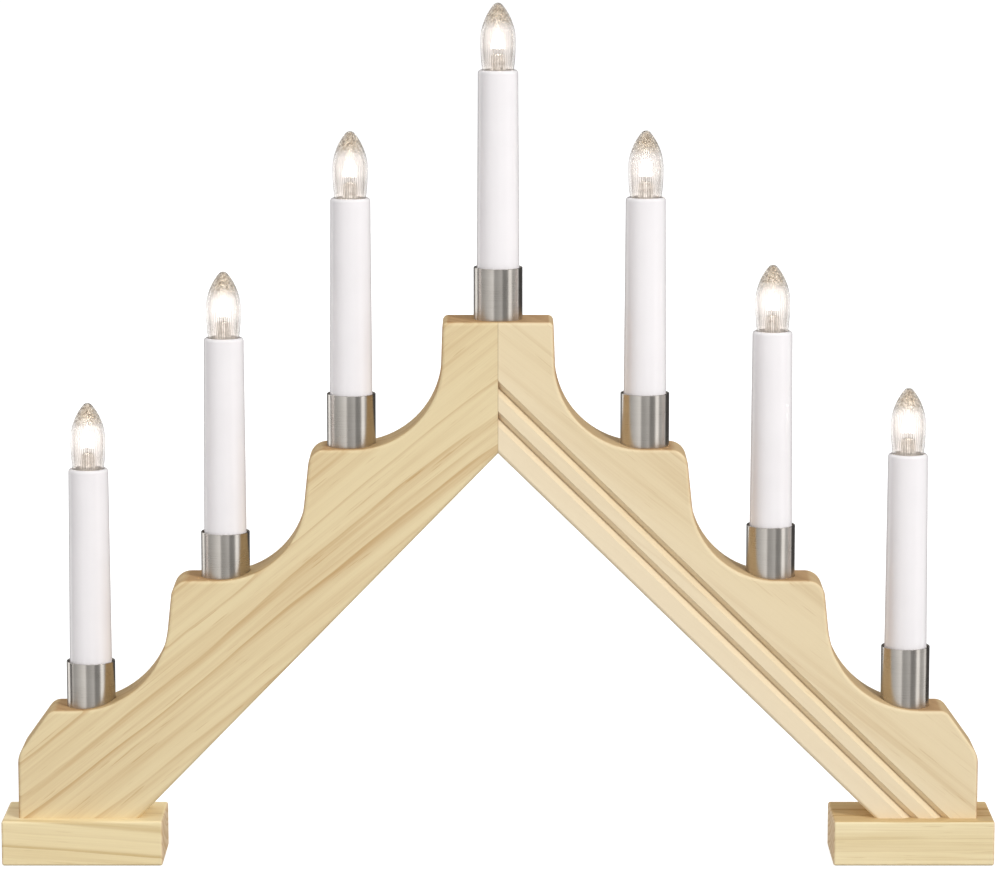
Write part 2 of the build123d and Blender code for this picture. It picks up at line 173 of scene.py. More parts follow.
def clouds(vector, scale, detail=2.0, roughness=0.5):
    sockets = {"Vector": vector, "Scale": scale, "Detail": detail, "Roughness": roughness}
    return vector.node("ShaderNodeTexNoise", None, sockets, 0)


def bump(height, depth, strength=1.0):
    return height.node("ShaderNodeBump", None, {"Height": height, "Distance": depth, "Strength": strength})


def newFinish(name):  # a new material, the place on the piece and the shader
    material = bpy.data.materials.new(name)
    material.use_nodes = True
    tree = material.node_tree
    place = Sock(tree).node("ShaderNodeTexCoord", output="Object")
    return material, place, tree.nodes["Principled BSDF"]


def feed(shader, **values):  # fills a shader's sockets, whose names are written without blanks
    names = {socket.name.replace(" ", ""): socket for socket in reversed(list(shader.inputs))}
    for key, value in values.items():
        if isinstance(value, Sock):
            shader.id_data.links.new(value.out, names[key])
        else:
            names[key].default_value = value


# wood: slope of the fibres in degrees; the pith's height and depth, ring spacing and sway in mm

# edge and top: how much painted shade darkens the sawn edges and coves, and the top faces
leftPine = {
    "slope": 39, "pith": (96, 40), "spacing": 4.8, "sway": 13, "seed": 3.0,
    "light": tone(238, 219, 176), "dark": tone(199, 160, 108), "end": tone(198, 154, 108),
    "contrast": 0.55, "streaks": 0.75, "patches": 1.0, "pale": 0.0, "edge": 0.62, "top": 0.0,
}
rightPine = {
    "slope": -39, "pith": (330, 30), "spacing": 7.0, "sway": 8, "seed": 11.0,
    "light": tone(240, 221, 183), "dark": tone(208, 178, 132), "end": tone(200, 157, 112),
    "contrast": 0.4, "streaks": 0.6, "patches": 1.6, "pale": 0.8, "edge": 0.62, "top": 0.0,
}
footPine = {
    "slope": -4, "pith": (58, 24), "spacing": 5.0, "sway": 7, "seed": 23.0,
    "light": tone(250, 232, 187), "dark": tone(215, 188, 135), "end": tone(230, 202, 168),
    "contrast": 0.75, "streaks": 0.5, "patches": 0.9, "pale": 0.0, "edge": 0.0, "top": 0.0,
}
otherFootPine = {
    **footPine, "slope": 0, "pith": (72, 30), "spacing": 3.6, "sway": 3, "seed": 31.0,
    "light": tone(252, 236, 194), "contrast": 1.0, "streaks": 0.9, "patches": 1.4, "top": 0.75,
}
dowelBeech = {
    **footPine, "light": tone(226, 190, 148), "dark": tone(190, 148, 104), "seed": 5.0, "spacing": 2.0,
}
grain = {  # how fast each pattern changes along and across the fibres, for each millimetre
    "drift": (0.0065, 0.02), "ripple": (0.03, 0.09), "fibre": (0.022, 1.5),
    "streak": (0.009, 0.42), "patch": (0.0045, 0.055), "fleck": (0.05, 1.1),
}
uneven = {"along": 0.0012, "ring": 0.4}  # how fast the rings' widths change, for each millimetre and ring
seedStep = 97  # millimetres of board between two seeds
shares = {  # how much each pattern moves or darkens the wood; the wall and crease shares are painted shade
    "ripple": 1.6, "ringDrift": 3.2, "fibre": 0.55, "fleck": 0.3,
    "endGrain": 0.85, "wall": 0.15, "crease": 0.4, "seam": 0.3,
}
# tones and the groove bottom's depth for painted shade on groove walls, sawn edges, tops and groove bottoms
paintedShade = {"bottom": -11.5, "line": 0.75, "wall": tone(204, 179, 142), "crease": tone(140, 106, 66)}
paleEdge = {
    "toward": (math.sqrt(0.5), 0, math.sqrt(0.5)), "from": 138, "to": 176, "tone": tone(247, 230, 199),
}
glueLine = {"from": 0.1 * mm, "to": 0.36 * mm, "tone": tone(150, 118, 76)}


def pine(name, look):
    # rings are distances from a pith line that runs along the board; each darkens slowly and ends sharply
    material, place, shader = newFinish(name)
    normal = place.node("ShaderNodeNewGeometry", output="Normal")
    slope = math.radians(look["slope"])
    fibreWay = (math.cos(slope), 0, math.sin(slope))
    ringWay = (-math.sin(slope), 0, math.cos(slope))
    along = dot(place, fibreWay) * inMm + look["seed"] * seedStep
    across = dot(place, ringWay) * inMm
    deep = dot(place, (0, 1, 0)) * inMm

    def pattern(kind, detail, roughness=0.5):
        lengthwise, crosswise = grain[kind]
        spot = joined(along * lengthwise, across * crosswise, deep * crosswise)
        return clouds(spot, 1.0, detail, roughness)

    drift = pattern("drift", 2.0) - 0.5
    ripple = pattern("ripple", 2.0) - 0.5
    sideways = across - look["pith"][0] + drift * look["sway"] + ripple * shares["ripple"]
    inward = deep - look["pith"][1]
    reach = (sideways * sideways + inward * inward) ** 0.5 / look["spacing"]
    width = clouds(joined(reach * uneven["ring"], along * uneven["along"], deep * 0), 1.0, 2.0) - 0.5
    ringCount = reach + width * shares["ringDrift"]
    ring = ringCount.maths("FRACT", ringCount)
    number = ringCount.maths("FLOOR", ringCount)
    year = number.node("ShaderNodeTexWhiteNoise", {"noise_dimensions": "1D"}, {"W": number})
    late = rise(ring, 0.3, 0.85) * (1 - rise(ring, 0.88, 1.0)) * (0.12 + 0.88 * year * year)
    fibre = pattern("fibre", 4.0, 0.65)
    streak = pattern("streak", 2.0)
    patch = pattern("patch", 3.0)
    fleck = rise(pattern("fleck", 1.0), 0.68, 0.76)
    shade = late * look["contrast"] + (fibre - 0.5) * shares["fibre"] + (streak - 0.5) * look["streaks"]
    shade = shade + (patch - 0.5) * look["patches"] + fleck * shares["fleck"]
    colour = blendColour(rise(shade, -0.25, 1.05), look["light"], look["dark"])

    inner = 1 - rise(dot(place, paleEdge["toward"]) * inMm, paleEdge["from"], paleEdge["to"])
    colour = blendColour(inner * look["pale"], colour, paleEdge["tone"])  # sapwood by the inner edge
    cut = rise(abs(dot(normal, fibreWay)), 0.3, 0.85)  # end grain is browner
    endTone = blendColour(rise(ring, 0.3, 0.95) * 0.5, look["end"], look["dark"], "MULTIPLY")
    colour = blendColour(cut * shares["endGrain"], colour, endTone)
    facing = dot(normal, (0, -1, 0))
    slanted = rise(facing, 0.15, 0.5) * (1 - rise(facing, 0.8, 0.98))  # eased edges and groove walls
    inwards = rise(0 - dot(normal, ringWay), 0.25, 0.55)
    # painted shade darkens the eased edges and groove walls that face the inner edge
    colour = blendColour(slanted * inwards * shares["wall"], colour, paintedShade["wall"], "MULTIPLY")
    edgeShade = (1 - rise(abs(facing), 0.3, 0.8)) * (1 - inwards)  # painted shade on the sawn edges, coves and tops, but not on those that face the inner edge
    colour = blendColour(edgeShade * look["edge"], colour, paintedShade["wall"], "MULTIPLY")
    topShade = rise(dot(normal, (0, 0, 1)), 0.6, 0.9)  # painted shade: a top face made darker
    colour = blendColour(topShade * look["top"], colour, paintedShade["wall"], "MULTIPLY")
    sunk = rise(deep, paintedShade["bottom"] - paintedShade["line"], paintedShade["bottom"] - 0.1)
    crease = rise(facing, 0.45, 0.65) * sunk  # painted shade along the bottom of a groove
    colour = blendColour(crease * shares["crease"], colour, paintedShade["crease"], "MULTIPLY")
    seam = 1 - rise(abs(dot(place, (1, 0, 0))), glueLine["from"], glueLine["to"])  # the mitre
    colour = blendColour(seam * shares["seam"], colour, glueLine["tone"])
    relief = fibre * 0.6 + late * 0.5
    feed(
        shader, BaseColor=colour, Roughness=0.46 + fibre * 0.16 + cut * 0.12,
        Normal=bump(relief, 0.06 * mm, 0.6), SpecularIORLevel=0.35,
    )
    return material


# metals: rough is the dull end of the shine, grain the brushing's depth, drawn how far it runs one way

screwSteel = {"light": grey(0.62), "dark": grey(0.42), "rough": 0.3, "grain": 0.07, "drawn": 0.0}
cupSteel = {
    "light": tone(216, 211, 204), "dark": tone(200, 194, 186), "rough": 0.25, "grain": 0.03, "drawn": 0.92,
}
tipSolder = {
    "light": tone(205, 204, 200), "dark": tone(170, 168, 163), "rough": 0.35, "grain": 0.07, "drawn": 0.0,
}
leadWire = {
    "light": tone(196, 186, 172), "dark": tone(150, 138, 122), "rough": 0.3, "grain": 0.07, "drawn": 0.0,
}
holderBrass = {"light": tone(226, 196, 118), "dark": tone(190, 152, 78)}
capBrass = {"light": tone(232, 206, 138), "dark": tone(200, 166, 94)}


def brushedSteel(name, look):
    material, place, shader = newFinish(name)
    x, y, z = (dot(place, axis) for axis in ((1, 0, 0), (0, 1, 0), (0, 0, 1)))
    lines = clouds(joined(x * 60, y * 60, z * 9000), 1.0, 3.0, 0.7)
    stain = clouds(place, 90.0, 3.0)
    colour = blendColour(rise(lines * 0.5 + stain * 0.5, 0.3, 0.7), look["dark"], look["light"])
    feed(
        shader, BaseColor=colour, Metallic=1.0, Roughness=look["rough"] + (lines + stain) * look["grain"],
        Normal=bump(lines, 0.002 * mm, look["grain"] * 5),
        Anisotropic=look["drawn"], AnisotropicRotation=0.25,
    )
    return material


def brass(name, look):
    material, place, shader = newFinish(name)
    stain = clouds(place, 400.0, 4.0)
    pits = clouds(place, 5000.0, 2.0)
    colour = blendColour(rise(stain, 0.35, 0.7), look["light"], look["dark"])
    feed(
        shader, BaseColor=colour, Metallic=1.0, Roughness=0.24 + stain * 0.2,
        Normal=bump(pits, 0.006 * mm, 0.4),
    )
    return material


# plastics: haze is a slow change of tone, skin the fine moulded surface

bushPlastic = {
    "light": tone(238, 237, 232), "dark": tone(226, 224, 217), "rough": 0.45, "gloss": 0.4,
    "hazeScale": 200.0, "skinScale": 4000.0, "skinDepth": 0.02 * mm,
}
clipPlastic = {
    "light": tone(236, 234, 228), "dark": tone(222, 219, 210), "rough": 0.5, "gloss": 0.4,
    "hazeScale": 160.0, "skinScale": 3500.0, "skinDepth": 0.02 * mm,
}
wireInsulation = {
    "light": tone(240, 239, 234), "dark": tone(225, 223, 215), "rough": 0.38, "gloss": 0.45,
    "hazeScale": 120.0, "skinScale": 2500.0, "skinDepth": 0.01 * mm,
}
holderPlastic = {
    "light": tone(239, 238, 233), "dark": tone(227, 225, 218), "rough": 0.5, "gloss": 0.4,
    "hazeScale": 220.0, "skinScale": 4500.0, "skinDepth": 0.02 * mm,
}
sleevePlastic = {
    "light": tone(251, 247, 248), "dark": tone(248, 244, 245), "rough": 0.12, "gloss": 0.5,
    "hazeScale": 45.0, "skinScale": 1800.0, "skinDepth": 0.008 * mm,
}


def plastic(name, look):
    material, place, shader = newFinish(name)
    haze = clouds(place, look["hazeScale"], 3.0)
    skin = clouds(place, look["skinScale"], 2.0)
    colour = blendColour(rise(haze, 0.3, 0.75), look["light"], look["dark"])
    feed(
        shader, BaseColor=colour, Roughness=look["rough"] + haze * 0.1,
        Normal=bump(skin, look["skinDepth"], 0.5), SpecularIORLevel=look["gloss"],
    )
    return material


# glass and filament

glassLook = {
    "mid": tone(252, 249, 247), "line": tone(206, 198, 193), "tip": tone(236, 227, 214),
    "bead": tone(166, 151, 134), "foot": tone(240, 236, 232), "glow": tone(255, 249, 240),
    "strength": 0.034, "footGlow": 1.7, "beadSize": 850.0, "beadDepth": 0.5 * mm, "sparkle": 9.0,
}
stemLook = {
    "light": tone(250, 247, 243), "dark": tone(208, 199, 190), "cloudSize": 700.0, "strength": 0.17,
}
wireLook = {
    "metal": tone(120, 116, 110), "light": tone(255, 252, 244), "dark": tone(255, 247, 231),
    "cloudSize": 900.0, "strength": 30.0,
}


def bulbGlass(name, look):
    # the map's U goes round and its V is the share of the height above the sleeve: painted dark lines between
    # the ribs that stand in for their refraction, stronger and greyer towards the foot, a beaded brown tip
    # with painted glints, and a glowing middle
    material, place, shader = newFinish(name)
    spread = place.node("ShaderNodeUVMap", {"uv_map": "turned"})
    angle = dot(spread, (1, 0, 0))
    height = dot(spread, (0, 1, 0))
    wave = angle.maths("COSINE", angle * (fullTurn * ribCount))
    streak = clouds(joined(angle * 60, height * 1.5, angle * 0), 1.0, 2.0, 0.7)
    beads = clouds(place, look["beadSize"], 2.0, 0.6)
    tip = rise(height, 0.6, 0.84)
    low = 1 - rise(height, 0.16, 0.36)
    # painted dark lines between the ribs, standing in for the light the ribs bend
    line = rise(0 - wave, 0.1, 0.95) * (0.35 + streak + low * 0.6)
    colour = blendColour(line.maths("MINIMUM", line, 1.0), look["mid"], look["line"])
    colour = blendColour(tip * (0.55 + beads * 0.6), colour, look["tip"])
    colour = blendColour(tip * rise(beads, 0.5, 0.6) * 0.85, colour, look["bead"])
    colour = blendColour(low * 0.45, colour, look["foot"])
    glow = rise(height, 0.2, 0.36) * (1 - rise(height, 0.52, 0.74))
    glow = glow + (1 - rise(height, 0.0, 0.08)) * look["footGlow"]
    # painted glints on the tip
    glow = glow + tip * (1 - rise(beads, 0.36, 0.42)) * look["sparkle"]
    feed(
        shader, BaseColor=colour, Roughness=0.03, TransmissionWeight=1.0, IOR=1.46,
        Normal=bump(beads * tip, look["beadDepth"], 0.8),
        EmissionColor=blendColour(glow, grey(0), look["glow"], "ADD"), EmissionStrength=look["strength"],
    )
    return material


def stemGlass(name, look):
    material, place, shader = newFinish(name)
    cloud = clouds(place, look["cloudSize"], 3.0)
    colour = blendColour(rise(cloud, 0.3, 0.7), look["light"], look["dark"])
    # the emission is painted light that stands in for the nearby filament lighting the stem
    feed(
        shader, BaseColor=colour, Roughness=0.04 + cloud * 0.1, TransmissionWeight=0.9, IOR=1.5,
        EmissionColor=colour, EmissionStrength=look["strength"],
    )
    return material


def hotWire(name, look):
    material, place, shader = newFinish(name)
    cloud = clouds(place, look["cloudSize"], 2.0)
    shine = blendColour(rise(cloud, 0.3, 0.7), look["light"], look["dark"])
    feed(
        shader, BaseColor=look["metal"], Roughness=0.5,
        EmissionColor=shine, EmissionStrength=look["strength"],
    )
    return material


recipes = {
    "leftPine": (pine, leftPine), "rightPine": (pine, rightPine),
    "footPine": (pine, footPine), "otherFootPine": (pine, otherFootPine), "dowelBeech": (pine, dowelBeech),
    "screwSteel": (brushedSteel, screwSteel), "cupSteel": (brushedSteel, cupSteel),
    "tipSolder": (brushedSteel, tipSolder), "leadWire": (brushedSteel, leadWire),
    "holderBrass": (brass, holderBrass), "capBrass": (brass, capBrass),
    "bushPlastic": (plastic, bushPlastic), "clipPlastic": (plastic, clipPlastic),
    "wireInsulation": (plastic, wireInsulation), "holderPlastic": (plastic, holderPlastic),
    "sleevePlastic": (plastic, sleevePlastic), "bulbGlass": (bulbGlass, glassLook),
    "stemGlass": (stemGlass, stemLook), "hotWire": (hotWire, wireLook),
}
finishes = {name: recipe(name, look) for name, (recipe, look) in recipes.items()}
print("finishes made,", len(finishes))


# mesh makers

def addPiece(name, mesh, body, node, sharp=40):
    mesh.shade_smooth()
    mesh.set_sharp_from_angle(angle=math.radians(sharp))
    piece = bpy.data.objects.new(name, mesh)
    scene.collection.objects.link(piece)
    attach(piece, body)
    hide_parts(node)
    return piece


def roundTurn(columns):  # evenly spaced angles once round
    return np.linspace(0, fullTurn, columns, endpoint=False)


def neighbours(columns):  # each column and the next, going round
    column = np.arange(columns)
    return column, (column + 1) % columns


def gridFaces(rows, columns, closedRows=False):
    # quads between neighbouring rows; the columns always go round and meet
    row = np.arange(rows if closedRows else rows - 1)[:, None]
    upper = (row + 1) % rows
    column, beside = neighbours(columns)
    corners = [
        row * columns + column, row * columns + beside,
        upper * columns + beside, upper * columns + column,
    ]
    return np.stack([np.broadcast_to(c, (row.size, columns)) for c in corners], -1).reshape(-1, 4)


def fanFaces(edge, pole):  # triangles from a ring's edge, given as first and second ends, to one point
    first, second = edge
    return np.stack([first, second, np.full(len(first), pole)], -1)


def turnedPoints(centre, radius, turn, height):  # points at a radius and a height about an upright axis
    x, y, z = centre
    spots = np.broadcast_arrays(x + radius * np.cos(turn), y + radius * np.sin(turn), z + height)
    return np.stack(spots, -1)


def meshOf(name, points, faces, finish):
    mesh = bpy.data.meshes.new(name)
    mesh.from_pydata(points.reshape(-1, 3).tolist(), [], faces.tolist())
    mesh.materials.append(finishes[finish])
    mesh.validate()
    return mesh


def turnedRing(name, profile, columns, centre, finish):
    # a closed outline of radius and height, anticlockwise seen with the radius to the right, turned about
    # an upright axis
    radius, height = np.array(profile).T
    points = turnedPoints(centre, radius[:, None], roundTurn(columns), height[:, None])
    return meshOf(name, points, gridFaces(len(profile), columns, True), finish)


def arc(middle, radius, first, last, count):  # points on a circle between two angles in degrees
    angle = np.radians(np.linspace(first, last, count))
    return np.stack([middle[0] + radius * np.cos(angle), middle[1] + radius * np.sin(angle)], -1).tolist()


def middleOf(node):  # a node's upright axis, its lower and upper ends and its radius
    low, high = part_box(node)
    return (low.x + high.x) / 2, (low.y + high.y) / 2, low.z, high.z, (high.x - low.x) / 2


def rimOf(k):  # height of a sleeve's rim
    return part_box(f"candle_{k}_sleeve")[1].z


# boards and fittings, copied from the solids with their corners merged and shaded round

def smoothCopy(node, name, body, finish, sharp=35):
    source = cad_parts[node].data
    points = np.empty(len(source.vertices) * 3, np.float32)
    source.vertices.foreach_get("co", points)
    corners = np.empty(len(source.loops), np.int32)
    source.loops.foreach_get("vertex_index", corners)
    merged, index = np.unique(np.round(points.reshape(-1, 3), 7), axis=0, return_inverse=True)
    triangles = index.reshape(-1)[corners].reshape(-1, 3)
    a, b, c = triangles.T
    mesh = meshOf(name, merged, triangles[(a != b) & (b != c) & (c != a)], finish)
    piece = addPiece(name, mesh, body, node, sharp)
    even = piece.modifiers.new("evenNormals", "WEIGHTED_NORMAL")  # flat faces stay flat beside round edges
    even.mode = "FACE_AREA"
    even.weight = 100
    even.keep_sharp = True


boards = {
    "left_arm": ("leftArm", "leftPine", "pine"), "right_arm": ("rightArm", "rightPine", "pine"),
    "left_foot": ("leftFoot", "footPine", "pine"), "right_foot": ("rightFoot", "otherFootPine", "pine"),
    "mitre_dowels": ("mitreDowels", "dowelBeech", "dowel_beech"),
    "foot_screws": ("footScrews", "screwSteel", "screw_steel"),
    "cord_inlet_bush": ("cordInletBush", "bushPlastic", "bush_plastic"),
    "wire_clips": ("wireClips", "clipPlastic", "clip_plastic"),
    "series_wires": ("seriesWires", "wireInsulation", "wire_insulation"),
    "holder_screw_shells": ("holderScrewShells", "holderBrass", "holder_brass"),
    "holder_contacts": ("holderContacts", "holderBrass", "holder_brass"),
}
for k in candles:
    boards[f"candle_{k}_lampholder"] = (f"lampholder{k}", "holderPlastic", "holder_plastic")
for node, (name, finish, slot) in boards.items():
    smoothCopy(node, name, "frame", finish)
print("boards and small fittings,", len(boards))


# candles

cupLook = {"wall": 0.6 * mm, "floor": 0.8 * mm, "foot": 0.5 * mm, "hole": 4.5 * mm, "columns": 96}
sleeveLook = {
    "wall": 1.1 * mm, "lip": 1.4 * mm, "lipHole": 7.45 * mm, "lipBevel": 0.2 * mm,
    "topRadius": 9.1 * mm, "edge": 1.4 * mm, "columns": 96,
}


def cup(k, look):
    # up the outside, over a half-round rim, down the inside and across the floor
    x, y, low, high, radius = middleOf(f"candle_{k}_cup")
    tall, wall, floor = high - low, look["wall"], look["floor"]
    foot, hole = look["foot"], look["hole"]
    profile = [(hole, 0)] + arc((radius - foot, foot), foot, -90, 0, 6)
    profile += arc((radius - wall / 2, tall - wall / 2), wall / 2, 0, 180, 9)
    profile += [(radius - wall, floor + foot), (radius - wall - foot, floor), (hole, floor)]
    mesh = turnedRing(f"cup{k}", profile, look["columns"], (x, y, low), "cupSteel")
    addPiece(f"cup{k}", mesh, "frame", f"candle_{k}_cup")


def sleeve(k, look):
    # a slim tapered tube with a round shoulder and a lip in at the top
    x, y, low, high, radius = middleOf(f"candle_{k}_sleeve")
    tall, top, edge = high - low, look["topRadius"], look["edge"]
    wall, lip, hole, bevel = look["wall"], look["lip"], look["lipHole"], look["lipBevel"]
    profile = [(radius - wall, 0), (radius, 0)]
    profile += arc((top - edge, tall - edge), edge, 0, 90, 9)
    profile += [(hole + bevel, tall), (hole, tall - bevel), (hole, tall - lip), (top - wall, tall - lip)]
    mesh = turnedRing(f"sleeve{k}", profile, look["columns"], (x, y, low), "sleevePlastic")
    addPiece(f"sleeve{k}", mesh, "frame", f"candle_{k}_sleeve")


for k in candles:
    cup(k, cupLook)
    sleeve(k, sleeveLook)
print("cups and sleeves made")


# flame bulbs, with heights from the sleeve's rim

bulbLook = {
    "neckRadius": 4.15 * mm, "neckDrop": 4.6 * mm, "rimRadius": 7.1 * mm, "belly": 12.8 * mm,
    "tipRadius": 2.6 * mm, "wall": 0.6 * mm, "ribDepth": 0.16 * mm, "ribStart": -2 * mm, "ribRun": 5 * mm,
    "ribEnd": 3 * mm, "ribPause": 0.15, "perRib": 4,
}


def bulbRadius(z, inset, sizes, look):
    # arcs from the neck up: a quarter round shoulder, the lower belly, the long flank and the small round tip
    radius, top = sizes
    belly, tipRadius = look["belly"], look["tipRadius"]
    tipZ = top - tipRadius
    climb = tipZ - belly
    sweep = (radius ** 2 + climb ** 2 - tipRadius ** 2) / (2 * (radius - tipRadius))
    offset = sweep - radius
    meetZ = tipZ + (tipRadius - inset) * climb / math.hypot(offset, climb)
    fall = radius - look["rimRadius"]
    lowSweep = (fall ** 2 + belly ** 2) / (2 * fall)
    root = lambda value: np.sqrt(np.maximum(value, 0))
    tip = root((tipRadius - inset) ** 2 - (z - tipZ) ** 2)
    flank = root((sweep - inset) ** 2 - (z - belly) ** 2) - offset
    lower = root((lowSweep - inset) ** 2 - (z - belly) ** 2) - lowSweep + radius
    neck = look["neckRadius"] - inset
    shoulder = neck + (look["rimRadius"] - inset - neck) * root(1 - (z / look["neckDrop"]) ** 2)
    places = [z > meetZ, z > belly, z > 0, z > -look["neckDrop"]]
    return np.select(places, [tip, flank, lower, shoulder], neck)


def bulbRows(foot, top, inset, look):
    # heights from the foot of the neck to just under the top, closer together where the outline bends
    neck = np.linspace(foot, -look["neckDrop"], 3)[:-1]
    shoulder = -look["neckDrop"] * np.cos(np.linspace(0, np.pi / 2, 9))[:-1]
    side = np.linspace(0, top - look["tipRadius"], 34)[:-1]
    reach = look["tipRadius"] - inset
    tip = top - look["tipRadius"] + reach * np.sin(np.linspace(0, np.pi / 2, 12))[:-1]
    return np.concatenate([neck, shoulder, side, tip])


def bulbGlassPiece(k, look):
    # radius = outline less a cosine rib that fades at both ends; the inner wall has no ribs
    x, y, low, high, radius = middleOf(f"bulb_{k}_glass")
    rim = rimOf(k)
    foot, top = low - rim, high - rim
    columns = ribCount * look["perRib"]
    turn = roundTurn(columns)
    sheets, spots = [], []
    for inset in (0, look["wall"]):
        z = bulbRows(foot, top, inset, look)
        r = bulbRadius(z, inset, (radius, top), look)
        begun = np.clip((z - look["ribStart"]) / look["ribRun"], 0, 1)
        fade = begun * np.clip(r / look["ribEnd"] - look["ribPause"], 0, 1)
        ribs = 0 if inset else look["ribDepth"] * fade[:, None] * (0.5 - 0.5 * np.cos(ribCount * turn))
        sheet = turnedPoints((x, y, rim), r[:, None] - ribs, turn, z[:, None])
        spot = np.stack(np.broadcast_arrays(turn / fullTurn, np.clip(z / top, 0, 1)[:, None]), -1)
        sheets.append(sheet.reshape(-1, 3))
        spots.append(spot.reshape(-1, 2))
    rows, size = len(z), len(sheets[0])
    poles = np.array([[x, y, high], [x, y, high - look["wall"]]])
    points = np.concatenate(sheets + [poles])
    spots = np.concatenate(spots + [np.array([[0.5, 1.0], [0.5, 1.0]])])
    column, beside = neighbours(columns)
    wall = gridFaces(rows, columns)
    seam = np.stack([column, column + size, beside + size, beside], -1)
    quads = np.concatenate([wall, wall[:, ::-1] + size, seam])
    last = (rows - 1) * columns
    outerFan = fanFaces((last + column, last + beside), 2 * size)
    innerFan = fanFaces((size + last + beside, size + last + column), 2 * size + 1)
    mesh = bpy.data.meshes.new(f"bulbGlass{k}")
    mesh.from_pydata(points.tolist(), [], quads.tolist() + outerFan.tolist() + innerFan.tolist())
    mesh.materials.append(finishes["bulbGlass"])
    corner = np.empty(len(mesh.loops), np.int32)
    mesh.loops.foreach_get("vertex_index", corner)
    turned = mesh.uv_layers.new(name="turned")
    turned.data.foreach_set("uv", spots[corner].astype(np.float32).ravel())
    addPiece(f"bulbGlass{k}", mesh, f"bulb_{k}", f"bulb_{k}_glass", 80)


capLook = {
    "pitch": 1.814 * mm, "depth": 0.42 * mm, "wall": 0.3 * mm, "bevel": 1.2 * mm, "hole": 2.6 * mm,
    "plainTop": 0.5 * mm, "runIn": 1.2 * mm, "runOut": 1.4 * mm, "edge": 0.15 * mm, "lip": 0.1 * mm,
    "neck": 2.0 * mm, "columns": 72, "rows": 68,
}


def bulbCap(k, look):
    # screw shell: radius waves with height less turn, one wave for each pitch, and fades at both ends
    x, y, low, high, radius = middleOf(f"bulb_{k}_cap")
    tall, threadTop = high - low, high - low - look["plainTop"]
    wall, bevel, hole, edge, lip = look["wall"], look["bevel"], look["hole"], look["edge"], look["lip"]
    turn = roundTurn(look["columns"])
    z = np.linspace(bevel, threadTop, look["rows"])[:, None]
    wave = 0.5 - 0.5 * np.cos(fullTurn * z / look["pitch"] - turn)
    fade = np.clip((z - bevel) / look["runIn"], 0, 1) * np.clip((threadTop - z) / look["runOut"], 0, 1)
    thread = np.stack(np.broadcast_arrays(radius - look["depth"] * fade * wave, z), 1)
    core = radius - look["depth"] - wall
    under = [(hole, 0), (radius - bevel, 0), (radius - edge, bevel - edge)]
    over = [(radius, tall - lip), (radius - lip, tall), (radius - wall, tall)]
    inside = [(core, tall - look["neck"]), (core, bevel + wall)]
    floor = [(radius - bevel - wall / 2, wall), (hole, wall)]
    plain = lambda rows: np.repeat(np.array(rows)[:, :, None], look["columns"], 2)  # the same all round
    rings = np.concatenate([plain(under), thread, plain(over + inside + floor)])
    points = turnedPoints((x, y, low), rings[:, 0], turn, rings[:, 1])
    mesh = meshOf(f"bulbCap{k}", points, gridFaces(len(rings), look["columns"], True), "capBrass")
    addPiece(f"bulbCap{k}", mesh, f"bulb_{k}", f"bulb_{k}_cap", 60)


mountLook = {
    "stemTop": 7.2 * mm, "stemTopRadius": 4.3 * mm, "stemFootRadius": 3.3 * mm, "stemHole": 0.02 * mm,
    "stemColumns": 40, "leadRadius": 0.3 * mm, "leadFoot": 1.1 * mm, "spread": 1.3 * mm, "leadTop": 9.6 * mm,
    "hoopRise": 6.7 * mm, "wireRadius": 0.2 * mm, "coilRadius": 0.6 * mm, "coilTurns": 26,
}


def tube(path, radius, columns):
    # rings square to a path, their sides kept square to the depth direction, with closed ends
    ahead = np.gradient(path, axis=0)
    ahead /= np.linalg.norm(ahead, axis=1)[:, None]
    side = np.cross(ahead, np.array([0.0, 1.0, 0.0]))
    side /= np.maximum(np.linalg.norm(side, axis=1), 1e-9)[:, None]
    other = np.cross(ahead, side)
    turn = roundTurn(columns)[None, :, None]
    points = path[:, None] + radius * (np.cos(turn) * side[:, None] + np.sin(turn) * other[:, None])
    count = len(path) * columns
    points = np.concatenate([points.reshape(-1, 3), path[:1], path[-1:]])
    column, beside = neighbours(columns)
    last = count - columns
    ends = [fanFaces((beside, column), count), fanFaces((last + column, last + beside), count + 1)]
    return points, [gridFaces(len(path), columns)] + ends


